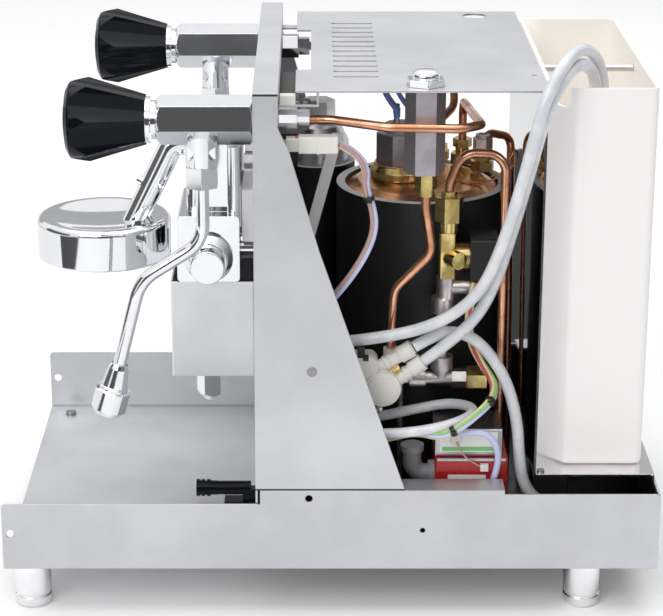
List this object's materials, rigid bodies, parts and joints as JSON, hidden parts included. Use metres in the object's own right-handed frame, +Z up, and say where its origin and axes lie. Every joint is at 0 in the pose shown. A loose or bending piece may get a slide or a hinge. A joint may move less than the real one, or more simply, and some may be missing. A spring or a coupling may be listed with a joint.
{
  "type": "espresso machine",
  "caption": "Espresso machine with its casing off: steel base tray, brew group, fluted valve knobs with swivelling wands, jacketed boilers, pump, hoses and a lift-out water tank.",
  "frame": {"origin": "on the worktop, under the middle of the base tray", "axes": "+Z up, -X to the front where the brew group is, -Y to the user's right"},
  "size_m": [0.44, 0.298, 0.3837],
  "materials": {
    "steel_sheet": "fine matt brushed sheet",
    "polished_sheet": "mirror polished sheet",
    "chrome": "bright plated",
    "plain_steel": "turned steel",
    "knob_black": "moulded, glossy",
    "tank_white": "moulded, satin",
    "nylon_white": "moulded, satin",
    "silicone": "translucent, satin",
    "jacket_black": "closed-cell foam",
    "copper": "drawn copper, lightly tarnished",
    "brass": "machined",
    "nickel": "satin nickel plate",
    "heater_grey": "dark grey",
    "strap_grey": "plain strip",
    "black_plastic": "moulded",
    "pump_silver": "plain, bare of labels",
    "pump_red": "moulded",
    "grey_plastic": "moulded",
    "gasket_rubber": "moulded",
    "loom": "bundled wires"
  },
  "bodies": {
    "chassis": {"arch_tube": "copper", "base_chassis": "steel_sheet", "boiler_strap": "strap_grey", "brass_fittings": "brass", "brass_union": "brass", "brew_boiler": "plain_steel", "brew_jacket": "jacket_black", "cam_gland": "chrome", "control_box": "black_plastic", "cord_gland": "black_plastic", "dome_nut": "plain_steel", "drain_nozzle": "chrome", "expansion_tube": "copper", "expansion_valve": "nickel", "fasteners": "plain_steel", "foot_front_left": "chrome", "foot_front_right": "chrome", "foot_rear_left": "chrome", "foot_rear_right": "chrome", "front_panel": "steel_sheet", "group_body": "chrome", "group_gasket": "gasket_rubber", "group_shroud": "steel_sheet", "group_spacer": "nylon_white", "heater_head": "heater_grey", "hose_drain": "silicone", "hose_loop": "silicone", "hose_manifold": "nylon_white", "hose_return": "silicone", "hose_suction": "silicone", "hot_water_tube": "copper", "hot_water_valve": "chrome", "loom_pump": "loom", "loom_valve": "loom", "nickel_tees": "nickel", "overflow_stub": "black_plastic", "pump_body": "pump_silver", "pump_bracket": "black_plastic", "pump_coil": "pump_red", "pump_elbow": "grey_plastic", "rear_bulkhead": "polished_sheet", "service_boiler": "copper", "service_jacket": "jacket_black", "shower_screen": "plain_steel", "solenoid_coil": "black_plastic", "solenoid_valve": "brass", "steam_tube": "copper", "steam_valve": "chrome", "tank_shelf": "steel_sheet", "top_plate": "steel_sheet", "wire_connectors": "nylon_white"},
    "hot_water_knob": {"hot_water_knob": "knob_black"},
    "steam_knob": {"steam_knob": "knob_black"},
    "hot_water_ball": {"hot_water_ball": "chrome"},
    "hot_water_wand": {"hot_water_wand": "chrome"},
    "steam_ball": {"steam_ball": "chrome"},
    "steam_wand": {"steam_wand": "chrome"},
    "lever": {"lever_hub": "chrome"},
    "tank": {"water_tank": "tank_white", "tank_rod": "plain_steel"}
  },
  "joints": [
    {"name": "hot_water_knob_turn", "type": "hinge", "parent": "chassis", "child": "hot_water_knob", "pos_m": [-0.084, -0.113, 0.3345], "axis": [1, 0, 0], "range_deg": [0, 450]},
    {"name": "steam_knob_turn", "type": "hinge", "parent": "chassis", "child": "steam_knob", "pos_m": [-0.084, 0.113, 0.3345], "axis": [1, 0, 0], "range_deg": [0, 450]},
    {"name": "hot_water_swivel", "type": "hinge", "parent": "chassis", "child": "hot_water_ball", "pos_m": [-0.084, -0.113, 0.298], "axis": [0, 0, 1], "range_deg": [-35, 100]},
    {"name": "hot_water_tilt", "type": "hinge", "parent": "hot_water_ball", "child": "hot_water_wand", "pos_m": [-0.084, -0.113, 0.298], "axis": [0, 1, 0], "range_deg": [-12, 12]},
    {"name": "steam_swivel", "type": "hinge", "parent": "chassis", "child": "steam_ball", "pos_m": [-0.084, 0.113, 0.298], "axis": [0, 0, 1], "range_deg": [-20, 150]},
    {"name": "steam_tilt", "type": "hinge", "parent": "steam_ball", "child": "steam_wand", "pos_m": [-0.084, 0.113, 0.298], "axis": [1, 0, 0], "range_deg": [-12, 12]},
    {"name": "lever_turn", "type": "hinge", "parent": "chassis", "child": "lever", "pos_m": [-0.084, -0.054, 0.217], "axis": [0, 1, 0], "range_deg": [0, 65]},
    {"name": "tank_lift", "type": "slide", "parent": "chassis", "child": "tank", "axis": [0, 0, 1], "range_m": [0, 0.27], "deforming": ["hose_suction", "hose_return"]}
  ]
}
